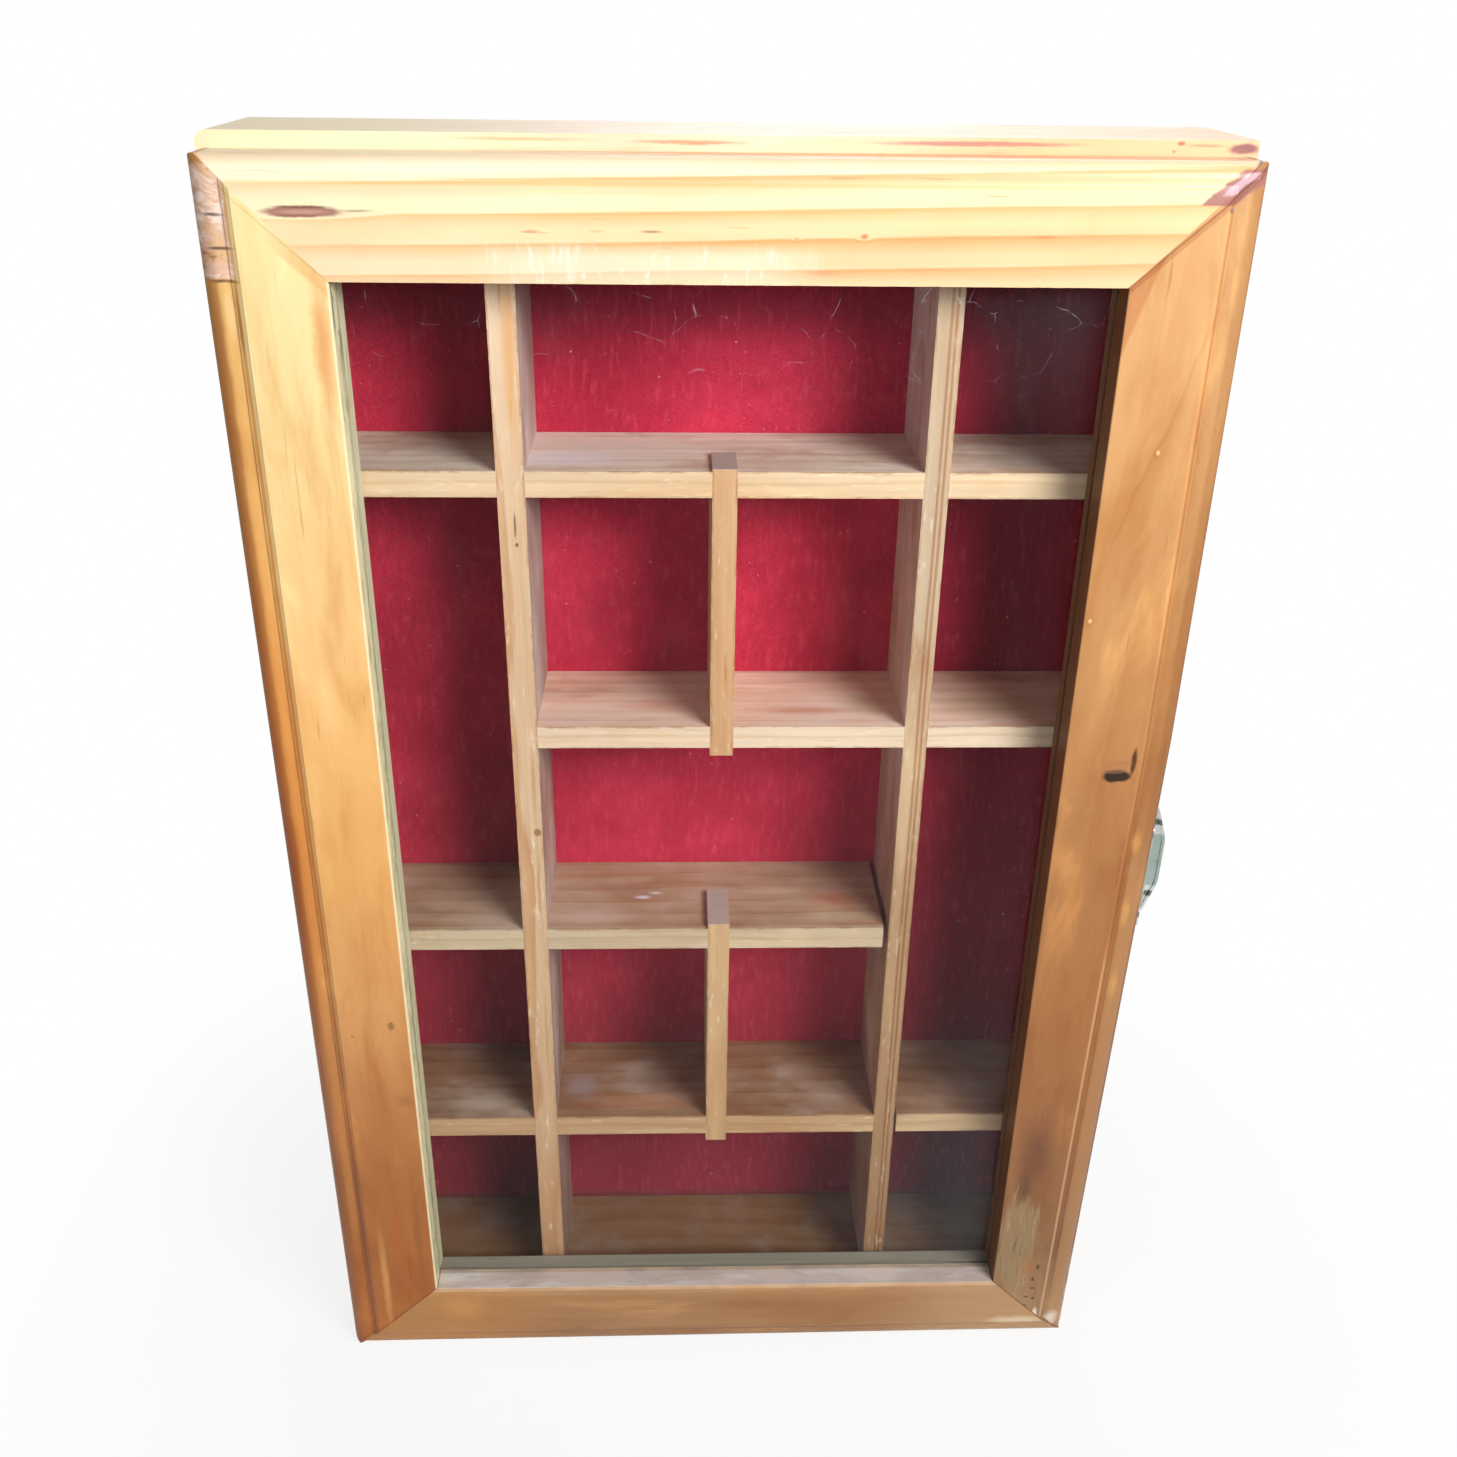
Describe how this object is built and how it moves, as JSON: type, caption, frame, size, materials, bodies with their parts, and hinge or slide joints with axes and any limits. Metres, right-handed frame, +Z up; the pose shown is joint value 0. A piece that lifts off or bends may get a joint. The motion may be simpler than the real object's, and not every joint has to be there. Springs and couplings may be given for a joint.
{
  "type": "fishing lure display case",
  "caption": "Shallow pine display case with a hinged glazed door, a felt-lined back, cross-halved dividers and shelves, and a clasp on the side",
  "frame": {"origin": "on the case's flat underside, below the middle of the door's opening", "axes": "+Z up through the case's height, +X to the viewer's right (clasp side), front of the door towards -Y"},
  "size_m": [0.3153, 0.069, 0.472],
  "materials": {
    "case_pine": "aged varnished pine",
    "door_pine": "aged varnished pine",
    "bead_pine": "plain pine",
    "grid_pine": "plain sawn pine",
    "back_plywood": "thin plywood",
    "crimson_felt": "crimson felt",
    "glass": "clear window glass",
    "hinge_brass": "dull brass",
    "clasp_nickel": "nickel plate"
  },
  "bodies": {
    "case": {"case_top": "case_pine", "case_bottom": "case_pine", "case_left": "case_pine", "case_right": "case_pine", "back_panel": "back_plywood", "back_felt": "crimson_felt", "divider_left": "grid_pine", "divider_right": "grid_pine", "shelf_a": "grid_pine", "shelf_b": "grid_pine", "shelf_c": "grid_pine", "shelf_d": "grid_pine", "mullion_upper": "grid_pine", "mullion_lower": "grid_pine", "hinge_upper_case_leaf": "hinge_brass", "hinge_lower_case_leaf": "hinge_brass", "hinge_upper_pin": "hinge_brass", "hinge_lower_pin": "hinge_brass", "hinge_case_screws": "hinge_brass", "clasp_keeper": "clasp_nickel", "clasp_case_screws": "clasp_nickel"},
    "door": {"door_rail_top": "door_pine", "door_rail_bottom": "door_pine", "door_stile_left": "door_pine", "door_stile_right": "door_pine", "bead_top": "bead_pine", "bead_bottom": "bead_pine", "bead_left": "bead_pine", "bead_right": "bead_pine", "door_glass": "glass", "hinge_upper_door_leaf": "hinge_brass", "hinge_lower_door_leaf": "hinge_brass", "hinge_door_screws": "hinge_brass", "clasp_base": "clasp_nickel", "clasp_pin": "clasp_nickel", "clasp_door_screws": "clasp_nickel"},
    "clasp": {"clasp_hasp": "clasp_nickel"}
  },
  "joints": [
    {"name": "door_hinge", "type": "hinge", "parent": "case", "child": "door", "pos_m": [-0.1526, -0.02555, 0.236], "axis": [0, 0, -1], "range_deg": [0, 180]},
    {"name": "clasp_hinge", "type": "hinge", "parent": "door", "child": "clasp", "pos_m": [0.1523, -0.0294, 0.229], "axis": [0, 0, -1], "range_deg": [0, 120]}
  ]
}
